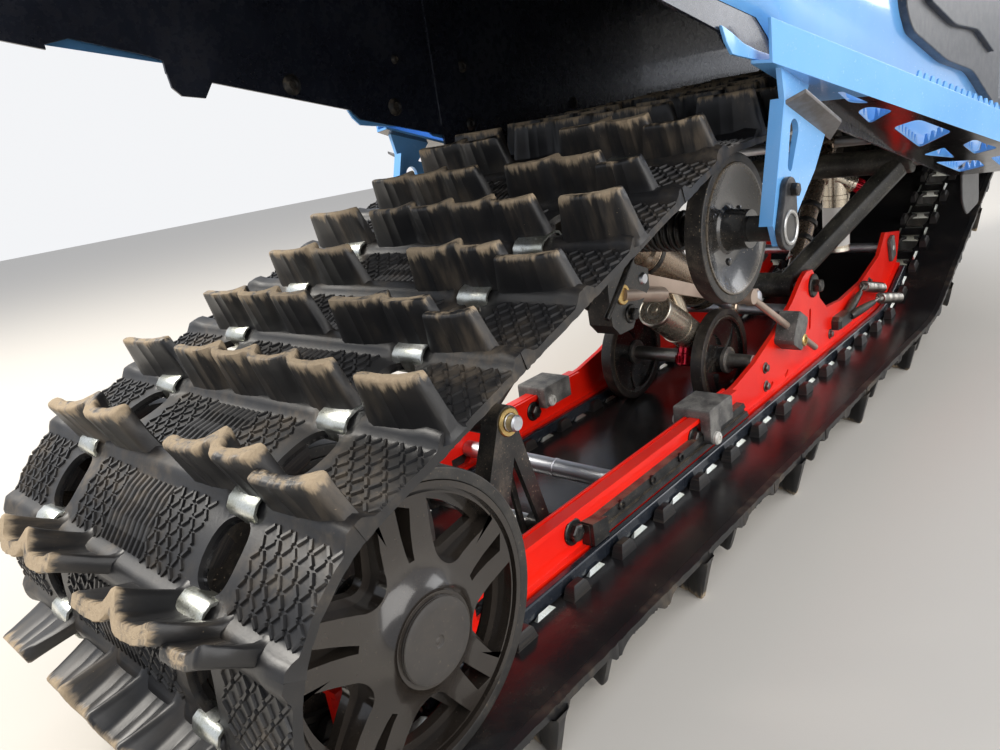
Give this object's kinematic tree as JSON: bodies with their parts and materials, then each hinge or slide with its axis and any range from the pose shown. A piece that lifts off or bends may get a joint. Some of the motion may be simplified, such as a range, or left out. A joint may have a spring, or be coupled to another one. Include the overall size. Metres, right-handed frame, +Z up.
{
  "type": "snowmobile rear track unit",
  "caption": "Lugged snow track on sliding rails with its idler wheels, suspension arms, tunnel and running boards, which drives and carries the rear of a snowmobile.",
  "frame": {"origin": "on the floor, under the middle of the whole unit", "axes": "+X forward, +Y to the rider's left, +Z up"},
  "size_m": [1.8332, 0.83, 0.719],
  "materials": {
    "track_rubber": "dusty black",
    "wheel_plastic": "glossy brown-black",
    "wheel_rubber": "black, dusty",
    "red_rail": "gloss red",
    "slide_plastic": "worn black",
    "block_plastic": "dark grey",
    "steel": "satin",
    "black_metal": "satin black",
    "tunnel_metal": "dark, dusty",
    "blue_metal": "gloss light blue"
  },
  "bodies": {
    "root": {"track": "track_rubber", "drive_axle": "steel", "drive_sprockets": "block_plastic", "rear_wheel_discs": "wheel_plastic", "rear_inner_discs": "wheel_plastic", "rear_wheel_rings": "wheel_rubber", "rear_axle": "steel", "upper_wheel_discs": "wheel_plastic", "upper_wheel_rings": "wheel_rubber", "upper_shaft": "steel", "mid_wheel_discs": "wheel_plastic", "mid_wheel_rings": "wheel_rubber", "mid_shaft": "steel", "rail_left": "red_rail", "rail_right": "red_rail", "slide_left": "slide_plastic", "slide_right": "slide_plastic", "rail_brace_left": "black_metal", "rail_brace_right": "black_metal", "stop_block_left": "block_plastic", "stop_block_right": "block_plastic", "cross_tubes": "steel", "link_shafts": "steel", "rear_links": "black_metal", "rear_arm": "black_metal", "front_arm": "black_metal", "front_shafts": "steel", "tunnel_side_left": "tunnel_metal", "tunnel_side_right": "tunnel_metal", "tunnel_roof": "tunnel_metal", "running_board_left": "blue_metal", "running_board_right": "blue_metal", "drop_bracket_left": "blue_metal", "drop_bracket_right": "blue_metal", "cam_plate_left": "black_metal", "cam_plate_right": "black_metal"}
  },
  "joints": []
}
